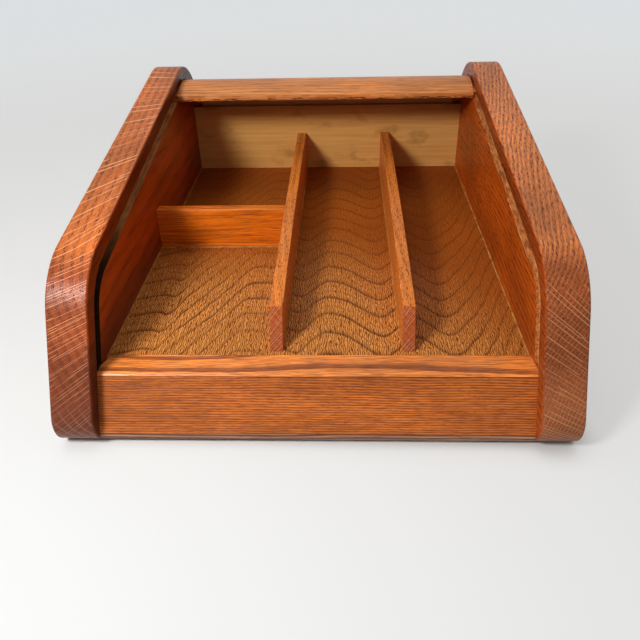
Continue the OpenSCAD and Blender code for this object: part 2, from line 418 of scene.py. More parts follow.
        # A board without an inner face has neutral inner values, so there any range will do
        inner = add(tree, "MapRange", None, {
            "Value": add(tree, "SeparateXYZ", None, {0: normal}), "From Max": oak.inner_way or 9.0})
        drawn = add(tree, "MapRange", None, {
            "Value": inner, "To Min": oak.ring_show, "To Max": oak.ring_show * oak.inner_rings})
        rings = add(tree, "Mix", BLEND, {
            0: add(tree, "Math", TIMES, {0: self.early, 1: drawn}),
            6: linear(oak.late), 7: linear(oak.early)})
        patches = add(tree, "TexNoise", None, {
            "Vector": add(tree, "VectorMath", TIMES, {0: self.place, 1: self.patch}),
            "Scale": 1.0, "Detail": 2.0})
        fine, broad = (
            add(tree, "MapRange", None, {
                "Value": pattern, **MIDDLE, "To Min": 1 - swing, "To Max": 1 + swing})
            for pattern, swing in ((fibre, oak.streak), (patches, oak.tone)))
        varied = add(tree, "HueSaturation", None, {
            "Value": add(tree, "Math", TIMES, {0: fine, 1: broad}), "Color": rings.outputs[2]})
        facing = add(tree, "VectorMath", DOT, {0: normal, 1: oak.grain.value}).outputs["Value"]
        open_end = add(tree, "MapRange", SMOOTH, {
            "Value": add(tree, "Math", ABSOLUTE, {0: facing}), "From Min": 0.15, "From Max": 0.6})
        open_pores = add(tree, "Math", TIMES, {
            0: pores,
            1: add(tree, "MapRange", None, {"Value": inner, "To Min": 1.0, "To Max": oak.inner_pores})})
        glint_band = add(tree, "MapRange", SMOOTH, {
            "Value": height, "From Min": oak.glint_heights[0] * MM, "From Max": oak.glint_heights[1] * MM, "To Max": 0.7})
        glinting = add(tree, "Math", TIMES, {
            0: glint_band, 1: add(tree, "MapRange", None, {"Value": self.early, "From Min": 0.75})})
        low = add(tree, "MapRange", SMOOTH, {
            "Value": height, "From Min": (oak.foot + 0.01) * MM, "From Max": 0.3 * oak.foot * MM,
            "To Max": 0.6})
        colour = varied.outputs[0]
        # Of these, the inner tint is painted shade, the glint is painted light, and the darkening towards
        # the foot is scuffs with painted shade
        for settings, where, code in (
                (TINT, open_end, oak.end_tint), (BLEND, open_pores, oak.pore), (BLEND, glinting, oak.glint),
                (BLEND, rays, oak.ray), (TINT, inner, oak.inner_shade_tint), (BLEND, low, oak.scuff_and_shade)):
            colour = add(tree, "Mix", settings, {0: where, 6: colour, 7: linear(code)}).outputs[2]
        return colour


@dataclass(frozen=True)
class FiguredVeneer(Finish):
    """Rotary-cut hardwood veneer with an amber varnish.

    The peeled sheet crosses each growth ring at a low angle, which gives wavy dark lines like the
    contours of a map, and fine short flecks stand across them. Lengths are in millimetres.
    """

    name: str = "veneer_rotary_cut_varnished"
    light: str = "#E0944A"
    dark: str = "#884612"
    line: str = "#4E1E02"
    shade_colour: str = "#924204"
    ring: float = 16.5
    ring_sway: float = 14.0
    # How fast the rings sway and the varnish gets cloudy, per millimetre
    slow: float = 0.02
    fleck: float = 1.02
    fleck_sway: float = 16.0
    half_width: float = 99.0
    swell: float = 135.0
    # Where painted shade starts and is darkest, towards the back under the lead rail, and more so
    # to the sides and to the right, in the shade of the side boards and the dividers
    painted_shade: tuple[float, float] = (-82.0, 42.0)
    painted_shade_sideways: float = 0.45
    painted_shade_right: float = 0.42
    # Place across the tray and how far back a ring's line reaches there
    figure: tuple[tuple[float, float], ...] = (
        (-99, 6), (-90, 10), (-84, 12), (-77, 12), (-72, 26), (-67, 36), (-60, 49), (-53, 62), (-47, 75),
        (-41, 88), (-35, 91), (-24, 87), (-10, 75), (-2, 85), (5, 92), (18, 86), (30, 74), (37, 77),
        (45, 88), (52, 87), (59, 78), (66, 74), (74, 83), (82, 95), (89, 110), (99, 133),
    )
    # Place between two rings, from 0 to 1, and how dark the line is there
    lines: tuple[tuple[float, float], ...] = (
        (0.0, 1.0), (0.05, 0.7), (0.15, 0.22), (0.38, 0.02), (0.45, 0.38), (0.52, 0.05), (0.7, 0.0),
        (0.745, 0.3), (0.8, 0.02), (0.93, 0.1), (0.975, 0.9),
    )

    def pattern(self, tree: Tree, seat: bpy.types.Node) -> tuple[Inputs, Inputs]:
        """Draw the veneer.

        Args:
            tree: The material's tree.
            seat: The texture coordinates.

        Returns:
            The inputs of the relief, and those of the shader without its normal.
        """
        place = add(tree, "Mapping", None, {"Vector": seat.outputs["Object"], "Scale": (1 / MM,) * 3})
        x, y = add(tree, "SeparateXYZ", None, {0: place}).outputs[:2]
        swell = add(tree, "ValToRGB", None, {0: add(tree, "MapRange", None, {
            "Value": x, "From Min": -self.half_width, "From Max": self.half_width})})
        set_stops(swell, [((across + self.half_width) / (2 * self.half_width), back / self.swell)
                          for across, back in self.figure], "CARDINAL")
        sway = add(tree, "TexNoise", None, {
            "Vector": place, "Scale": self.slow, "Detail": 3.0, "Roughness": 0.4})
        lifted = add(tree, "Math", TIMES_PLUS, {0: swell, 1: -self.swell, 2: y})
        swayed = add(tree, "Math", TIMES_PLUS, {0: sway, 1: self.ring_sway, 2: lifted})
        turns = add(tree, "Math", DIVIDED, {0: swayed, 1: self.ring})
        ink = add(tree, "ValToRGB", None, {0: add(tree, "Math", FRACTION, {0: turns})})
        set_stops(ink, self.lines)
        warp = add(tree, "TexNoise", None, {
            "Vector": add(tree, "VectorMath", TIMES, {0: place, 1: (0.6, 0.2, 1.0)}),
            "Scale": 1.0, "Detail": 1.0})
        bent = add(tree, "Math", TIMES_PLUS, {
            0: x, 1: 2 * math.pi / self.fleck, 2: add(tree, "Math", TIMES, {0: warp, 1: self.fleck_sway})})
        flecks = add(tree, "MapRange", SMOOTH, {
            "Value": add(tree, "Math", SINE, {0: bent}), "From Min": -1.0, "From Max": 0.8})
        # Painted shade: the floor turns darker and deeper in colour towards the back, the sides and the
        # right
        right = add(tree, "Math", TIMES_PLUS, {0: x, 1: self.painted_shade_right, 2: y})
        far = add(tree, "Math", TIMES_PLUS, {
            0: add(tree, "Math", ABSOLUTE, {0: x}), 1: self.painted_shade_sideways, 2: right})
        painted_shade = add(tree, "MapRange", SMOOTH, {
            "Value": far, "From Min": self.painted_shade[0], "From Max": self.painted_shade[1], "To Max": 0.8})
        clouds = add(tree, "TexNoise", None, {"Vector": place, "Scale": self.slow, "Detail": 2.0})
        base = add(tree, "Mix", BLEND, {0: flecks, 6: linear(self.dark), 7: linear(self.light)})
        shaded = add(tree, "Mix", BLEND, {0: painted_shade, 6: base.outputs[2], 7: linear(self.shade_colour)})
        level = add(tree, "MapRange", None, {"Value": clouds, **MIDDLE, "To Min": 0.86, "To Max": 1.12})
        cloudy = add(tree, "HueSaturation", None, {"Value": level, "Color": shaded.outputs[2]})
        # The lines are weaker in some clouds, in the painted shade, and between the flecks
        for inputs in ({"Value": clouds, "From Min": 0.36, "From Max": 0.6, "To Min": 0.45},
                       {"Value": painted_shade, "From Max": 0.8, "To Min": 0.95, "To Max": 0.5},
                       {"Value": flecks, "To Min": 1.1, "To Max": 0.9}):
            ink = add(tree, "Math", TIMES, {0: ink, 1: add(tree, "MapRange", None, inputs)})
        colour = add(tree, "Mix", BLEND, {0: ink, 6: cloudy, 7: linear(self.line)}).outputs[2]
        return ({"Strength": 0.15, "Distance": 0.2 * MM, "Height": flecks},
                {"Base Color": colour, "Roughness": 0.4, "IOR": 1.5, "Specular IOR Level": 0.08})


@dataclass(frozen=True)
class Ply(Finish):
    """Sliced or peeled ply and board with a quiet face: soft streaks, a few handling marks, and a band of
    painted shade past a given height.
    """

    light: str
    dark: str
    smudge_and_shade: str
    smudges: float = 0.5
    # How fast the streaks and the handling marks change, per millimetre
    streak_scale: tuple[float, float, float] = (0.02, 0.5, 0.5)
    mark_scale: tuple[float, float, float] = (0.045, 0.06, 0.075)
    roughness: float = 0.55
    # Heights from which painted shade darkens the face and where it is darkest, and how dark it gets
    shade_band: tuple[float, float] = (900.0, 901.0)
    shade_band_show: float = 0.75

    def pattern(self, tree: Tree, seat: bpy.types.Node) -> tuple[Inputs, Inputs]:
        """Draw the board.

        Args:
            tree: The material's tree.
            seat: The texture coordinates.

        Returns:
            The inputs of the relief, and those of the shader without its normal.
        """
        place = add(tree, "Mapping", None, {"Vector": seat.outputs["Object"], "Scale": (1 / MM,) * 3})
        streaks, marks = (
            add(tree, "TexNoise", None, {
                "Vector": add(tree, "VectorMath", TIMES, {0: place, 1: scale}),
                "Scale": 1.0, "Detail": detail, "Roughness": rough})
            for scale, detail, rough in ((self.streak_scale, 4.0, 0.6), (self.mark_scale, 3.0, 0.55)))
        colour = add(tree, "Mix", BLEND, {
            0: add(tree, "MapRange", None, {"Value": streaks, **MIDDLE}),
            6: linear(self.dark), 7: linear(self.light)}).outputs[2]
        soiled = add(tree, "MapRange", SMOOTH, {
            "Value": marks, "From Min": 0.54, "From Max": 0.72, "To Max": self.smudges})
        banded_shade = add(tree, "MapRange", SMOOTH, {
            "Value": add(tree, "SeparateXYZ", None, {0: place}).outputs[2],
            "From Min": self.shade_band[0], "From Max": self.shade_band[1], "To Max": self.shade_band_show})
        # Handling marks, then the band of painted shade, both in the smudge colour
        for where in (soiled, banded_shade):
            colour = add(tree, "Mix", BLEND, {0: where, 6: colour, 7: linear(self.smudge_and_shade)}).outputs[2]
        return ({"Strength": 0.2, "Distance": 0.1 * MM, "Height": streaks},
                {"Base Color": colour, "Roughness": self.roughness, "IOR": 1.5,
                 "Specular IOR Level": 0.08})


@dataclass(frozen=True)
class CottonDuck(Finish):
    """Woven cotton canvas, unbleached. The threads are drawn at 0.6 mm, coarse enough to show."""

    name: str = "cotton_duck_woven"
    thread: float = 0.6
    light: str = "#D8A468"
    dark: str = "#A87038"

    def pattern(self, tree: Tree, seat: bpy.types.Node) -> tuple[Inputs, Inputs]:
        """Draw the weave.

        Args:
            tree: The material's tree.
            seat: The texture coordinates.

        Returns:
            The inputs of the relief, and those of the shader without its normal.
        """
        turns = add(tree, "VectorMath", {"operation": "SCALE"}, {
            0: seat.outputs["Object"], "Scale": math.pi / self.thread / MM})
        x, y, z = add(tree, "SeparateXYZ", None, {0: turns}).outputs[:3]
        along = add(tree, "Math", {"operation": "ADD"}, {0: y, 1: z})
        weave = add(tree, "Math", TIMES, {
            0: add(tree, "Math", SINE, {0: x}), 1: add(tree, "Math", SINE, {0: along})})
        height = add(tree, "MapRange", None, {"Value": weave, "From Min": -1.0})
        colour = add(tree, "Mix", BLEND, {0: height, 6: linear(self.dark), 7: linear(self.light)})
        return ({"Strength": 0.5, "Distance": 0.2 * MM, "Height": height},
                {"Base Color": colour.outputs[2], "Roughness": 0.9, "IOR": 1.45})


@dataclass(frozen=True)
class DryGlue(Finish):
    """Hide glue, squeezed out of a joint and dried: amber, smooth, a little uneven."""

    name: str = "hide_glue_dried"
    light: str = "#C88C48"
    dark: str = "#8E5826"

    def pattern(self, tree: Tree, seat: bpy.types.Node) -> tuple[Inputs, Inputs]:
        """Draw the lumps.

        Args:
            tree: The material's tree.
            seat: The texture coordinates.

        Returns:
            The inputs of the relief, and those of the shader without its normal.
        """
        lumps = add(tree, "TexNoise", None, {
            "Vector": seat.outputs["Object"], "Scale": 0.25 / MM, "Detail": 2.0})
        colour = add(tree, "Mix", BLEND, {
            0: add(tree, "MapRange", None, {"Value": lumps, **MIDDLE}),
            6: linear(self.dark), 7: linear(self.light)})
        return ({"Strength": 0.3, "Distance": 0.2 * MM, "Height": lumps},
                {"Base Color": colour.outputs[2], "Roughness": 0.5, "IOR": 1.5,
                 "Specular IOR Level": 0.1})


# Mesh helpers


def slope() -> tuple[Vector, Vector]:
    """Read how the sides slope from the curtain's joint.

    Returns:
        The way along the slope as the curtain closes, and the way out of the slope.
    """
    along = Vector(frame["joints"][0]["axis"])
    return along, Vector((0, along.z, -along.y))


def solid_of(node: str) -> Mesh:
    """Copy a CAD node's solid into a clean mesh, with its flat faces whole.

    Args:
        node: The node's name.

    Returns:
        The mesh.
    """
    shape = bmesh.new()
    shape.from_mesh(frame["nodes"][node].data)
    bmesh.ops.remove_doubles(shape, verts=shape.verts, dist=WELD)
    bmesh.ops.dissolve_limit(
        shape, angle_limit=FLAT, verts=shape.verts, edges=shape.edges, use_dissolve_boundaries=False)
    return shape


def ease(shape: Mesh, radius: float, keep: Callable[[bmesh.types.BMEdge], bool], steps: int = 3) -> None:
    """Round sharp outer edges, as sandpaper does.

    Args:
        shape: The mesh.
        radius: How far from the edge the rounding starts, in metres.
        keep: Tells which of the sharp edges are rounded.
        steps: How many faces a rounding has.
    """
    sharp = [edge for edge in shape.edges
             if len(edge.link_faces) == 2 and edge.calc_face_angle_signed(0.0) > CREASE and keep(edge)]
    bmesh.ops.bevel(
        shape, geom=sharp, offset=radius, offset_type="OFFSET", segments=steps, profile=0.5,
        affect="EDGES", clamp_overlap=True)


def cut(shape: Mesh, point: Vector, way: Vector, away: bool = False) -> None:
    """Cut a mesh along a plane.

    Args:
        shape: The mesh.
        point: A point of the plane.
        way: The way that the plane faces.
        away: If what lies on that way is taken off and the cut is closed.
    """
    parts = bmesh.ops.bisect_plane(
        shape, geom=[*shape.verts, *shape.edges, *shape.faces], dist=TOUCH,
        plane_co=point, plane_no=way, clear_outer=away)["geom_cut"]
    if away:
        rim = [part for part in parts if isinstance(part, bmesh.types.BMEdge)]
        bmesh.ops.holes_fill(shape, edges=rim, sides=0)


def loft(shape: Mesh, rings: Sequence[list[bmesh.types.BMVert]]) -> None:
    """Join equal sections into a solid bar.

    Args:
        shape: The mesh that holds their vertices.
        rings: The vertices of each section, from one end to the other.
    """
    for one, two in zip(rings, rings[1:]):
        for i in range(len(one)):
            j = (i + 1) % len(one)
            shape.faces.new((one[i], one[j], two[j], two[i]))
    shape.faces.new(rings[0][::-1])
    shape.faces.new(rings[-1])


def show(name: str, data: bpy.types.ID) -> bpy.types.Object:
    """Put an object in the scene.

    Args:
        name: Its name.
        data: Its mesh, lamp or camera.

    Returns:
        The object.
    """
    thing = bpy.data.objects.new(name, data)
    bpy.context.scene.collection.objects.link(thing)
    return thing


def finish_piece(
    shape: Mesh,
    name: str,
    body: str,
    materials: Sequence[bpy.types.Material],
    replaced: Sequence[str] = (),
) -> bpy.types.Object:
    """Make a piece of the object from a mesh.

    Args:
        shape: The mesh, which is freed.
        name: The piece's name.
        body: The CAD body that it rides on. Empty for a piece that rides on none.
        materials: The piece's materials, first slot first.
        replaced: CAD nodes that the piece stands for.

    Returns:
        The piece.
    """
    bmesh.ops.recalc_face_normals(shape, faces=shape.faces)
    mesh = bpy.data.meshes.new(name)
    shape.to_mesh(mesh)
    shape.free()
    mesh.shade_smooth()
    mesh.set_sharp_from_angle(angle=SHARP)
    for material in materials:
        mesh.materials.append(material)
    piece = show(name, mesh)
    piece.modifiers.new("even_shading", "WEIGHTED_NORMAL").keep_sharp = True
    if body:
        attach(piece, body)
    if replaced:
        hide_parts(*replaced)
    LOG.info("%s: %d faces", name, len(mesh.polygons))
    return piece


def dress(node: str, material: bpy.types.Material) -> None:
    """Give a CAD node that stays in view its finish.

    Args:
        node: The node's name.
        material: Its material.
    """
    slots = frame["nodes"][node].data.materials
    slots.clear()
    slots.append(material)
    LOG.info("%s: the CAD solid, dressed", node)


# The carcass


@dataclass
class Sides:
    """The two thick side boards, with eased edges, and the splinters along the right groove."""

    ease: float = 0.9 * MM
    # The left side darkens up to 62 mm above the table with painted shade over its scuffs
    left: Oak = Oak("red_oak_left_side_satin", Grain.DEEP, (14.0, 107.0), turned=True, ring=4.2,
                    ring_show=0.4, ray_gap=1.15, ray_width=0.13, ray_show=0.85, pore_width=0.68,
                    pore_length=30.0, late="#CC6C2C", early="#8E3A14", pore="#48190A", ray="#F2B080",
                    end_tint="#B9A6B0", streak=0.26, tone=0.36, inner_shade_tint="#D8A65C", inner_way=1.0,
                    inner_rings=0.8, inner_pores=0.5, foot=62.0, scuff_and_shade="#48241A", glint_heights=(30.0, 8.0),
                    glint="#C08C7C")
    right: Oak = Oak("red_oak_right_side_satin", Grain.DEEP, (252.0, -45.0), turned=True, ring=1.65,
                     ring_show=0.42, wave=3.2, early_share=0.5, late="#DE8244", early="#8C4026",
                     pore="#5C2412", ray="#D99C6A", ray_gap=1.4, ray_width=0.16, ray_show=0.85,
                     pore_width=0.56, pore_length=8.0, pore_reach=0.44, streak=0.36, tone=0.28,
                     shift=31.0, end_tint="#B4A6A6", inner_shade_tint="#DCAA58", inner_way=-1.0,
                     inner_rings=0.9, inner_pores=0.75, foot=9.0, glint_heights=(46.0, 18.0), glint="#B4805E")
    # Colours that multiply the strips between the grooves and the boards' edges: painted shade and dirt
    left_lip: str = "#946A46"
    right_lip: str = "#B89068"
    # The left groove holds pale dust, and has painted shade below the shoulder
    left_groove: Ply = Ply("red_oak_groove_powdery_painted_shade", "#E89A5C", "#A05A2C", "#1A0B05", 0.3, (0.4, 0.03, 0.4),
                           roughness=0.85, shade_band=(74.0, 66.0), shade_band_show=0.96)
    right_groove: Ply = Ply("red_oak_groove_rubbed", "#EE9450", "#84380F", "#4E200C", 0.4, (0.9, 0.1, 0.9),
                            roughness=0.7)
    torn: Oak = Oak("red_oak_splinter_torn", Grain.DEEP, (252.0, -45.0), ring_show=0.3, late="#CC8A54",
                    early="#9C5828", pore="#6E3A18", ray_show=0.05, streak=0.4, tone=0.3, roughness=0.7,
                    specular=0.1)
    splinter_gap: float = 1.3 * MM
    splinter_lift: float = 0.22 * MM
    splinter_sink: float = 0.1 * MM

    def build(self) -> None:
        """Build both sides."""
        for node, oak, tint, groove in (("left_side", self.left, self.left_lip, self.left_groove),
                                        ("right_side", self.right, self.right_lip, self.right_groove)):
            shape = solid_of(node)
            outline = self._outline(shape)
            inner = self._mark(shape, node, oak.inner_way, outline)
            if node == "right_side":
                self._splinters(inner, oak.inner_way)
            ease(shape, self.ease, lambda edge: all(outline(v.co) for v in edge.verts))
            lip = replace(oak, name=oak.name + "_lip", inner_shade_tint=tint)
            finish_piece(shape, "oak_" + node, CARCASS,
                         [oak.material(), groove.material(), lip.material()], [node])

    @staticmethod
    def _outline(shape: Mesh) -> Callable[[Vector], bool]:
        """Make a test for points on the board's outer edge.

        Args:
            shape: The board.

        Returns:
            A function that says if a point lies on the outline of the board's section.
        """
        section = np.array([(v.co.y, v.co.z) for v in shape.verts])
        turns = np.radians(np.arange(0, 360, 0.5))
        ways = np.stack([np.cos(turns), np.sin(turns)], 1)
        support = (section @ ways.T).max(0)
        slack = 0.02 * MM

        def on_outline(point: Vector) -> bool:
            """Tell if a point touches the outline."""
            return bool((support - ways @ (point.y, point.z)).min() < slack)

        return on_outline

    @staticmethod
    def _mark(shape: Mesh, node: str, way: float, outline: Callable[[Vector], bool]) -> bmesh.types.BMFace:
        """Give the groove and the housings the second material, and the lip the third.

        The lip is the strip between the groove and the board's edge.

        Args:
            shape: The board.
            node: The side's name.
            way: The way along X that the board's inner face looks.
            outline: Tells if a point lies on the board's outline.

        Returns:
            The inner face without the lip.
        """
        flats = [corner.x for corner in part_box(node)]
        for face in shape.faces:
            middle = face.calc_center_median()
            flat = abs(face.normal.x) > 0.9 and min(abs(middle.x - x) for x in flats) < 0.01 * MM
            face.material_index = int(not flat and not all(outline(v.co) for v in face.verts))
        inner = [face for face in shape.faces if face.normal.x * way > 0.9 and face.material_index == 0]
        inner.sort(key=lambda face: face.calc_area())
        for face in inner[:-1]:
            face.material_index = 2
        return inner[-1]

    def _splinters(self, inner: bmesh.types.BMFace, way: float) -> None:
        """Raise splinters along the lower edge of the groove, where the curtain has torn it.

        Each is a flat spindle with two tips. A noise at its place decides if it is there, and
        three more give its length, its height and its slant.

        Args:
            inner: The board's inner face.
            way: The way along X that it looks.
        """
        along, out = slope()
        edge = max((edge for edge in inner.edges
                    if abs((edge.verts[0].co - edge.verts[1].co).normalized().dot(along)) > 0.999),
                   key=lambda edge: edge.calc_length())
        start, end = sorted((v.co for v in edge.verts), key=lambda co: co.dot(along))
        shape = bmesh.new()
        count = int((end - start).length / self.splinter_gap)
        for k in range(1, count):
            broad, slant, long, thick = (
                noise.noise(Vector((k * step, seed, 0.5)))
                for step, seed in ((0.06, 1.7), (0.61, 4.2), (0.83, 8.9), (0.47, 12.4)))
            if broad + 0.8 * slant < 0.0:
                continue
            half = (0.9 + 4.4 * abs(long)) * MM
            high = (0.16 + 0.8 * abs(thick)) * MM
            middle = start.lerp(end, k / count) - out * (high + (0.05 + 2.4 * abs(long * thick)) * MM)
            rise = out * slant * 1.6 * MM
            rise *= min(1.0, high / rise.length)
            tips = [shape.verts.new(tip) for tip in (
                middle - along * half - rise, middle + along * half + rise)]
            ring = [shape.verts.new(middle + step) for step in (
                out * high, Vector((way * self.splinter_lift, 0, 0)),
                -out * high, Vector((-way * self.splinter_sink, 0, 0)))]
            for one, two in zip(ring, ring[1:] + ring[:1]):
                shape.faces.new((tips[0], one, two))
                shape.faces.new((tips[1], two, one))
        finish_piece(shape, "oak_splinters", CARCASS, [self.torn.material()])


@dataclass
class Boards:
    """The boards between the sides: front rail, tray, wall, panels and dowels."""

    rail: Oak = Oak("red_oak_front_rail_satin", Grain.ACROSS, (-320.0, -140.0), ring=1.08, wave=2.4,
                    late="#BE6627", early="#72300E", pore="#742E0C", pore_width=0.5, pore_length=6.0,
                    pore_reach=0.44, ring_show=0.72, early_share=0.36, pore_spread=0.4, fibre=2.2,
                    ray_show=0.05, streak=0.42, tone=0.2, roughness=0.38, specular=0.25, foot=8.0,
                    scuff_and_shade="#3A2018")
    # The same board where its rounded top cuts the rings flat, with long dark streaks, and painted lighter
    # where light falls on the top
    rail_top: Oak = Oak("red_oak_front_rail_top_painted_light", Grain.ACROSS, (-150.0, -61.6), ring=3.4, wave=3.0,
                        late="#EC883A", early="#86401C", pore="#6A2E14", pore_width=0.5,
                        pore_length=12.0, pore_reach=0.44, pore_spread=0.45, ring_show=0.85,
                        early_share=0.26, fibre=2.4, ray_show=0.05, streak=0.5, tone=0.2,
                        roughness=0.34, specular=0.35)
    # Its lower front edge, greyed by a painted reflection of the pale table
    rail_foot: Oak = Oak("red_oak_front_rail_foot_painted_reflection", Grain.ACROSS, (-150.0, -61.6), ring=2.4, wave=4.0,
                         late="#B4846A", early="#5E3826", pore="#4A2A1A", pore_width=0.5,
                         pore_length=12.0, ring_show=0.9, early_share=0.4, fibre=1.4, ray_show=0.05,
                         streak=0.4, tone=0.25, roughness=0.6, specular=0.1)
    ease: float = 0.35 * MM
    # Length above which an edge is eased
    long_edge: float = 15 * MM
    foot_round: float = 2.6 * MM
    # The left end is rounded over, most at its back corner, which leaves a dark gap beside the side
    end_round: float = 1.5 * MM
    corner_round: float = 9.0 * MM
    corner_steps: int = 8
    floor: FiguredVeneer = FiguredVeneer()
    # The wall darkens towards its top with painted shadow of the lead rail
    wall: Ply = Ply("birch_ply_smudged_painted_shade", "#E6AE64", "#D49A50", "#704010", 0.35, shade_band=(62.0, 88.0))
    panel: Ply = Ply("luan_ply_stained", "#A87B4E", "#7F5530", "#5E3E22", 0.4)
    dowel: Ply = Ply("birch_dowel_turned", "#DDBF8B", "#C9A56B", "#A5834F", 0.3)

    def build(self) -> None:
        """Build the rail and dress the flat boards."""
        shape = solid_of("front_rail")
        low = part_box("front_rail")[0]
        ease(shape, self.foot_round, lambda edge: all(
            v.co.z < low.z + 0.2 * MM and v.co.y < low.y + 2 * MM for v in edge.verts), 5)
        self._round_corner(shape, low.x)
        # The rim of the left end, at its top and front
        ease(shape, self.end_round, lambda edge: all(
            v.co.x < low.x + 0.1 * MM for v in edge.verts) and any(
                face.normal.y < 0.5 and face.normal.z > -0.3 and face.normal.x > -0.5
                for face in edge.link_faces), 4)
        ease(shape, self.ease, lambda edge: edge.calc_length() > self.long_edge)
        for face in shape.faces:
            foot = face.normal.y < -0.2 and face.normal.z < 0.2
            face.material_index = 1 if face.normal.z > 0.55 else 2 * foot
        oaks = [oak.material() for oak in (self.rail, self.rail_top, self.rail_foot)]
        finish_piece(shape, "oak_front_rail", CARCASS, oaks, ["front_rail"])
        panel = self.panel.material()
        for node, material in (
                ("tray_floor", self.floor.material()), ("tray_wall", self.wall.material()),
                ("back_panel", panel), ("bottom_panel", panel), ("rail_dowels", self.dowel.material())):
            dress(node, material)

    def _round_corner(self, shape: Mesh, end: float) -> None:
        """Round the upright corner at the back of the rail's left end, by planes that touch the round.

        Args:
            shape: The rail.
            end: X of its left end.
        """
        least = 500 * MM * MM
        backs = [face for face in shape.faces if face.normal.y > 0.8 and face.calc_area() > least]
        back = max(backs, key=lambda face: face.calc_center_median().z)
        out, point = back.normal.copy(), back.verts[0].co.copy()
        centre = Vector((end + self.corner_round, point.y, point.z)) - out * self.corner_round
        for k in range(1, self.corner_steps):
            turn = math.pi / 2 * k / self.corner_steps
            way = Vector((-math.cos(turn), 0, 0)) + out * math.sin(turn)
            cut(shape, centre + way * self.corner_round, way, away=True)


@dataclass
class Dividers:
    """The thin partitions of the tray, and the glue that squeezed out at their feet."""

    ease: float = 0.5 * MM
    # Height above which their edges show
    shown: float = 31 * MM
    long: Oak = Oak("red_oak_divider_satin", Grain.DEEP, (-89.0, -35.0), ring=2.6, ring_show=0.35,
                    late="#DE7E30", early="#AA501C", pore="#662A0C", pore_width=0.62, pore_length=4.5,
                    pore_spread=0.6, ray="#F0B898", ray_gap=1.1, ray_show=0.6, tone=0.1, end_tint="#C8AAB0")
    second_pith: tuple[float, float] = (-26.0, -40.0)
    cross: Oak = Oak("red_oak_cross_divider_satin", Grain.ACROSS, (10.0, -120.0), ring=4.4, ring_show=0.25,
                     wave=5.0, late="#DE7216", early="#B04A0A", pore="#8A3A10", pore_width=0.46,
                     pore_length=14.0, fibre=1.2, ray_show=0.05, streak=0.4)
    glue: DryGlue = DryGlue()
    bead: float = 0.75 * MM
    bead_step: float = 2.5 * MM
    bead_sink: float = 0.06 * MM
    # Its least size, and how fast its size changes, per metre
    bead_least: float = 0.2 * MM
    bead_change: float = 260.0
    # How far behind a divider's front end its glue starts
    bead_start: float = 11 * MM

    def build(self) -> None:
        """Build the dividers and their glue lines."""
        second = replace(self.long, name="red_oak_second_divider_satin", pith=self.second_pith)
        for node, oak, test in (("left_divider", self.long, max), ("right_divider", second, max),
                                ("cross_divider", self.cross, min)):
            shape = solid_of(node)
            ease(shape, self.ease, lambda edge: test(v.co.z for v in edge.verts) > self.shown)
            finish_piece(shape, "oak_" + node, CARCASS, [oak.material()], [node])
        # Name, both ends and the way out of the board, of each corner with the floor
        corners = []
        for node in ("left_divider", "right_divider"):
            low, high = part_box(node)
            for mark, side, x in (("l", -1, low.x), ("r", 1, high.x)):
                corners.append(
                    (f"glue_{node}_{mark}", (x, low.y + self.bead_start), (x, high.y), (side, 0)))
        start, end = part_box("front_rail")[1].y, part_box("tray_wall")[0].y
        for mark, side, x in (("l", 1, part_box("left_side")[1].x), ("r", -1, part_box("right_side")[0].x)):
            corners.append((f"glue_floor_{mark}", (x, start), (x, end), (side, 0)))
        low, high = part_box("cross_divider")
        for mark, side, y in (("f", -1, low.y), ("b", 1, high.y)):
            corners.append((f"glue_cross_divider_{mark}", (low.x, y), (high.x, y), (0, side)))
        glue = self.glue.material()
        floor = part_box("tray_floor")[1].z
        for name, start, end, out in corners:
            self._bead(name, Vector((*start, floor)), Vector((*end, floor)), Vector((*out, 0)), glue)

    def _bead(self, name: str, start: Vector, end: Vector, out: Vector, glue: bpy.types.Material) -> None:
        """Lay a bead of glue in the corner between a board and the floor.

        Args:
            name: The piece's name.
            start: One end of the corner.
            end: The other end.
            out: The way that the board faces.
            glue: The bead's material.
        """
        shape = bmesh.new()
        steps = max(int((end - start).length / self.bead_step), 2)
        sink = self.bead_sink
        rings = []
        for k in range(steps + 1):
            place = start.lerp(end, k / steps)
            swell = noise.noise(place * self.bead_change + Vector((0, 0, len(name))))
            taper = 0.4 if k in (0, steps) else 1.0
            size = max(self.bead * (0.75 + 0.6 * swell) * taper, self.bead_least)
            section = [(-sink, -sink), (size, -sink), (size * 0.92, 0.05 * size), (size * 0.4, 0.32 * size),
                       (0.08 * size, 0.9 * size), (-sink, size)]
            rings.append([shape.verts.new(place + out * a + Vector((0, 0, b))) for a, b in section])
        loft(shape, rings)
        finish_piece(shape, name, CARCASS, [glue])


# The curtain


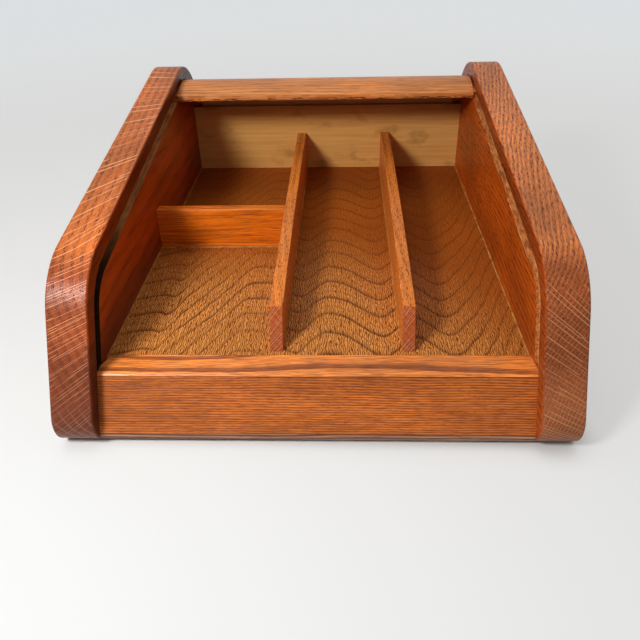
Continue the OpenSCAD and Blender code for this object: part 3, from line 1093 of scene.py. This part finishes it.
@dataclass
class Curtain:
    """The lead rail, the slats that stow behind it and under the tray, and their canvas."""

    rail: Oak = Oak("red_oak_lead_rail_satin", Grain.ACROSS, (220.0, 40.0), ring=2.3, wave=2.5,
                    late="#E8924E", early="#C87840", pore="#9C5430", pore_width=0.5, pore_length=14.0,
                    pore_spread=0.3, ray_show=0.1, streak=0.36, fibre=1.2, tone=0.2)
    torn: Oak = Oak("red_oak_lead_rail_torn", Grain.ACROSS, (220.0, 40.0), ring=1.1, wave=3.5,
                    late="#D07A30", early="#7E3A0C", pore="#5E260A", pore_width=0.6, pore_length=4.0,
                    pore_reach=0.5, pore_spread=0.8, ring_show=0.9, ray_show=0.05, streak=0.5, fibre=1.4,
                    tone=0.3, roughness=0.7, specular=0.1)
    slat: Oak = Oak("red_oak_slat_satin", Grain.ACROSS, (40.0, -60.0), ring=3.2, late="#BE661F",
                    early="#9C4A14", ray_show=0.15, streak=0.2)
    canvas: CottonDuck = CottonDuck()
    canvas_thick: float = 0.5 * MM
    ease: float = 0.35 * MM
    end_ease: float = 0.3 * MM
    # Length above which a slat's edge is eased
    long_edge: float = 20 * MM
    slats: int = 18
    run_slats: int = 14
    # Half the length of a slat of the run, and how much of the lead rail's ends isn't torn
    half_length: float = 98.2 * MM
    whole_end: float = 1.0 * MM
    # The tear: how deep it is, how far back and how high it reaches in millimetres, and where the
    # rail is cut so that it can be shaped, along its length and in height
    chip: float = 1.5 * MM
    tear: float = 2.4
    tear_height: float = 2.2
    cut_step: float = 0.9 * MM
    cut_heights: tuple[float, ...] = (0.4, 0.8, 1.25, 1.75, 2.3)
    # Where the run of slats lies folded up while the curtain is open, behind the rail's front edge
    fold: tuple[float, float] = (2.6 * MM, 15.4 * MM)
    slat_gap: float = 0.4 * MM
    slat_height: float = 4.4 * MM
    slat_crown: float = 1.2 * MM
    # How far ahead of its even place a slat of the run stands
    slat_ahead: float = 0.1 * MM

    def __post_init__(self) -> None:
        """Measure the open lead rail along the slope and square to it."""
        self.along, self.out = slope()
        self.travel = max(frame["joints"][0]["range_m"])
        self.pitch = self.travel / (self.run_slats + 1)
        verts = [v.co for v in frame["nodes"]["lead_rail"].data.vertices]
        self.front = max(v.dot(self.along) for v in verts)
        self.back = min(v.dot(self.along) for v in verts)
        self.base = min(v.dot(self.out) for v in verts)

    def build(self) -> None:
        """Build the curtain's pieces."""
        self._lead_rail()
        oak = self.slat.material()
        for k in range(1, self.slats + 1):
            node = f"slat_{k:02d}"
            shape = solid_of(node)
            ease(shape, self.ease, lambda edge: edge.calc_length() > self.long_edge, 2)
            finish_piece(shape, "oak_" + node, CARCASS, [oak], [node])
        self._run(oak)
        self._canvas()

    def _spot(self, point: Vector) -> tuple[float, float, float]:
        """Measure a point on the lead rail.

        Args:
            point: The point.

        Returns:
            Its X, how far it lies behind the front edge and its height, in millimetres.
        """
        return (point.x / MM, (self.front - point.dot(self.along)) / MM,
                (point.dot(self.out) - self.base) / MM)

    def _lead_rail(self) -> None:
        """Build the lead rail, whose lower front edge is torn from use."""
        shape = solid_of("lead_rail")
        reach = self.half_length - self.whole_end
        for k in range(int(2 * reach / self.cut_step) + 1):
            cut(shape, Vector((k * self.cut_step - reach, 0, 0)), Vector((1, 0, 0)))
        for height in self.cut_heights:
            cut(shape, self.out * (self.base + height * MM), self.out)
        for vert in shape.verts:
            x, behind, above = self._spot(vert.co)
            if behind < self.tear and above < self.tear_height and abs(vert.co.x) < reach + MM:
                torn = (noise.noise(Vector((x * 0.09, above * 0.35, 3.1))) * 1.1
                        + noise.noise(Vector((x * 0.42, above * 0.9, 7.7))) * 0.7 + 0.2)
                share = (1 - above / 2.3) * (0.45 + min(above, 0.8)) * (1 - behind / 2.5)
                ragged = max(0.0, noise.noise(Vector((x * 0.3, 1.3, 9.1))) + 0.1)
                ragged *= max(0.0, 1 - above / 0.6)
                vert.co += (self.out * 0.5 * ragged - self.along * max(0.0, torn) * share) * self.chip
        ease(shape, self.end_ease, lambda edge: abs(edge.verts[0].co.x) > self.half_length - 0.5 * MM, 2)
        for face in shape.faces:
            x, behind, above = self._spot(face.calc_center_median())
            edge = 1.5 + 1.1 * noise.noise(Vector((x * 0.16, 5.3, 2.1)))
            face.material_index = int(behind < self.tear and 0.7 < above < edge)
        finish_piece(shape, "oak_lead_rail", LEAD,
                     [self.rail.material(), self.torn.material()], ["lead_rail"])

    def _section(self) -> list[tuple[float, float]]:
        """Draw the section of a slat of the run, whose top is an arc.

        Returns:
            Points round the section: the place along the run from its middle, and the height.
        """
        half = (self.pitch - self.slat_gap) / 2
        crown = self.slat_crown
        radius = (half * half + crown * crown) / (2 * crown)
        tops = []
        for k in range(9):
            t = half * (1 - k / 4)
            tops.append((t, self.slat_height - radius + math.sqrt(radius * radius - t * t)))
        return [(-half, 0.0), (half, 0.0), *tops]

    def _folded(self, wanted: float) -> float:
        """Find where a point of the run lies when the curtain is open.

        Args:
            wanted: How far in front of the fold's back end the point stands when it is closed.

        Returns:
            How far in front of the fold's back end it lies when it is open.
        """
        length = self.fold[1] - self.fold[0]
        low, high = 0.0, length
        for _ in range(60):
            middle = (low + high) / 2
            part = middle / length
            if middle + self.travel * part * part * (3 - 2 * part) < wanted:
                low = middle
            else:
                high = middle
        return (low + high) / 2

    def _add_slat(self, shape: Mesh, spot: Callable[[float], float]) -> None:
        """Add a slat to a mesh.

        Args:
            shape: The mesh.
            spot: Turns a point's place on the section into its place along the slope.
        """
        loft(shape, [
            [shape.verts.new(self.along * spot(t) + self.out * (self.base + h) + Vector((x, 0, 0)))
             for t, h in self._section()]
            for x in (-self.half_length, self.half_length)])

    def _run(self, oak: bpy.types.Material) -> None:
        """Build the slats that fill the slope behind the closing lead rail.

        With the curtain open they lie folded up inside the lead rail. One more slat, which stays, stands
        where the rail's back part was.

        Args:
            oak: The slats' material.
        """
        start = self.front - self.fold[1]
        shape = bmesh.new()
        for k in range(self.run_slats):
            middle = (k + 0.5) * self.pitch + self.slat_ahead
            self._add_slat(shape, lambda t: start + self._folded(middle + t))
        run = finish_piece(shape, "oak_slat_run", "", [oak])
        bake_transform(run)
        shape = bmesh.new()
        fixed = self.back + 0.5 * self.pitch + self.slat_ahead
        self._add_slat(shape, lambda t: fixed + t)
        finish_piece(shape, "oak_slat_00", CARCASS, [oak])

    def _canvas(self) -> None:
        """Build the canvas that the slats are glued to."""
        shape = solid_of("curtain_canvas")
        low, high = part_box("curtain_canvas")
        width = high.x - low.x
        length = shape.calc_volume() / width / self.canvas_thick
        piece = finish_piece(shape, "canvas_backing", CARCASS, [self.canvas.material()],
                             ["curtain_canvas"])


# The studio


@dataclass
class Studio:
    """A pale table, soft light from the upper left, and the camera."""

    eye: Vector = field(default_factory=lambda: Vector((13.4, -354.6, 212.6)) * MM)
    pitch: float = math.radians(34.16)
    yaw: float = math.radians(-2.66)
    roll: float = math.radians(1.53)
    # Lens and sensor of one size see 53.1 degrees
    lens: float = 36.0
    table: str = "#E6E6E4"
    near: str = "#F2F2F0"
    sky: str = "#DCDFE1"
    # Distances from the origin where the table starts to fade into the backdrop, and has
    clear: tuple[float, float] = (0.3, 1.1)
    # How much of the plain paint shows near the object, and how close to it the shadow stays whole
    lift: float = 0.55
    contact: float = 14 * MM
    # Half the table's size, where it starts to curve up, the curve's radius and how high it ends
    half_size: float = 4.0
    cove: float = 0.7
    bend: float = 0.6
    top: float = 3.0
    # Strength of the even light, and the height that the lamps point at
    room: float = 0.25
    aim: float = 50 * MM

    def build(self) -> None:
        """Build the table, the lamps and the camera."""
        bpy.context.scene.view_settings.view_transform = "Standard"
        self._camera()
        self._table()
        self._world()
        self._lamp("key", place=Vector((-0.24, -0.34, 0.35)), size=0.1, power=1.85, tint="#FFFFFF")
        self._lamp("overhead", place=Vector((-0.2, 0.3, 1.8)), size=1.2, power=7.0, tint="#F6F8FF")

    @staticmethod
    def _seen(tree: Tree) -> bpy.types.NodeSocket:
        """Tell if a ray comes from the camera or by way of a mirror or glass.

        Args:
            tree: The tree that asks.

        Returns:
            1 for such a ray and 0 for one that carries light to a matt surface.
        """
        path = add(tree, "LightPath")
        seen = path.outputs["Is Camera Ray"]
        for ray in ("Is Glossy Ray", "Is Transmission Ray"):
            seen = add(tree, "Math", {"operation": "MAXIMUM"}, {0: seen, 1: path.outputs[ray]}).outputs[0]
        return seen

    def _camera(self) -> None:
        """Place the camera by its pitch, yaw and roll."""
        data = bpy.data.cameras.new("camera")
        data.lens = self.lens
        data.sensor_width = self.lens
        data.clip_start = 0.01
        level = math.cos(self.pitch)
        ahead = Vector((math.sin(self.yaw) * level, math.cos(self.yaw) * level, -math.sin(self.pitch)))
        right = Vector((math.cos(self.yaw), -math.sin(self.yaw), 0))
        down = ahead.cross(right)
        right, down = (right * math.cos(self.roll) + down * math.sin(self.roll),
                       down * math.cos(self.roll) - right * math.sin(self.roll))
        turn = Matrix((right, -down, -ahead)).transposed()
        camera = show("camera", data)
        camera.matrix_world = Matrix.Translation(self.eye) @ turn.to_4x4()
        bpy.context.scene.camera = camera

    def _table(self) -> None:
        """Lay the table: a plain pale sheet that curves up behind the object."""
        shape = bmesh.new()
        turns = [math.pi / 2 * k / 24 for k in range(25)]
        curve = [(self.cove + self.bend * math.sin(turn), self.bend * (1 - math.cos(turn)))
                 for turn in turns]
        profile = [(-self.half_size, 0.0), *curve, (self.cove + self.bend, self.top)]
        rows = [[shape.verts.new((x, y, z)) for x in (-self.half_size, self.half_size)]
                for y, z in profile]
        for one, two in zip(rows, rows[1:]):
            shape.faces.new((one[0], one[1], two[1], two[0]))
        mesh = bpy.data.meshes.new("table")
        shape.to_mesh(mesh)
        shape.free()
        mesh.shade_smooth()
        mesh.materials.append(self._lacquer())
        show("table", mesh)

    def _lacquer(self) -> bpy.types.Material:
        """Build the table's matt lacquer, which fades into the backdrop away from the object.

        Returns:
            The material.
        """
        tree = new_tree("lacquer_table_matt")
        matt = add(tree, "BsdfPrincipled", None, {"Base Color": linear(self.table), "Roughness": 0.6})
        reach = add(tree, "VectorMath", LENGTH, {0: add(tree, "TexCoord").outputs["Object"]})
        far = add(tree, "MapRange", SMOOTH, {
            "Value": reach.outputs["Value"], "From Min": self.clear[0], "From Max": self.clear[1]})
        # Close under the object the table keeps its whole shadow
        near = add(tree, "AmbientOcclusion", {"samples": 8}, {"Distance": self.contact}).outputs["AO"]
        bare = add(tree, "MapRange", None, {"Value": near, "From Min": 0.35, "From Max": 0.95})
        lit = add(tree, "Math", TIMES, {0: bare, 1: self._seen(tree)})
        pale = add(tree, "Math", TIMES, {
            0: add(tree, "MapRange", None, {"Value": far, "To Min": self.lift}), 1: lit})
        paint = add(tree, "Mix", BLEND, {0: far, 6: linear(self.near), 7: linear(self.sky)})
        backdrop = add(tree, "Emission", None, {"Color": paint.outputs[2]})
        add(tree, "OutputMaterial", None, {
            "Surface": add(tree, "MixShader", None, {0: pale, 1: matt, 2: backdrop})})
        return bpy.data.materials["lacquer_table_matt"]

    def _world(self) -> None:
        """Light the room evenly, with a pale backdrop where the camera sees it."""
        world = bpy.data.worlds.new("room")
        world.use_nodes = True
        tree = world.node_tree
        tree.nodes.clear()
        room = add(tree, "Background", None, {"Color": linear("#FFFFFF"), "Strength": self.room})
        backdrop = add(tree, "Background", None, {"Color": linear(self.sky)})
        mixed = add(tree, "MixShader", None, {0: self._seen(tree), 1: room, 2: backdrop})
        add(tree, "OutputWorld", None, {"Surface": mixed})
        bpy.context.scene.world = world

    def _lamp(self, name: str, place: Vector, size: float, power: float, tint: str) -> None:
        """Hang a soft lamp that points at the object.

        Args:
            name: The lamp's name.
            place: Where it hangs.
            size: Width of its square face.
            power: Its power in watts.
            tint: Its colour.
        """
        data = bpy.data.lights.new(name, "AREA")
        data.size = size
        data.energy = power
        data.color = linear(tint)[:3]
        lamp = show(name, data)
        lamp.location = place
        lamp.rotation_euler = (place - Vector((0, 0, self.aim))).to_track_quat("Z", "Y").to_euler()


def main() -> None:
    """Build the studio and every piece."""
    logging.basicConfig(level=logging.INFO, format="%(message)s")
    for part in (Studio, Sides, Boards, Dividers, Curtain):
        part().build()
    bpy.context.view_layer.update()


if __name__ == "__main__":
    main()
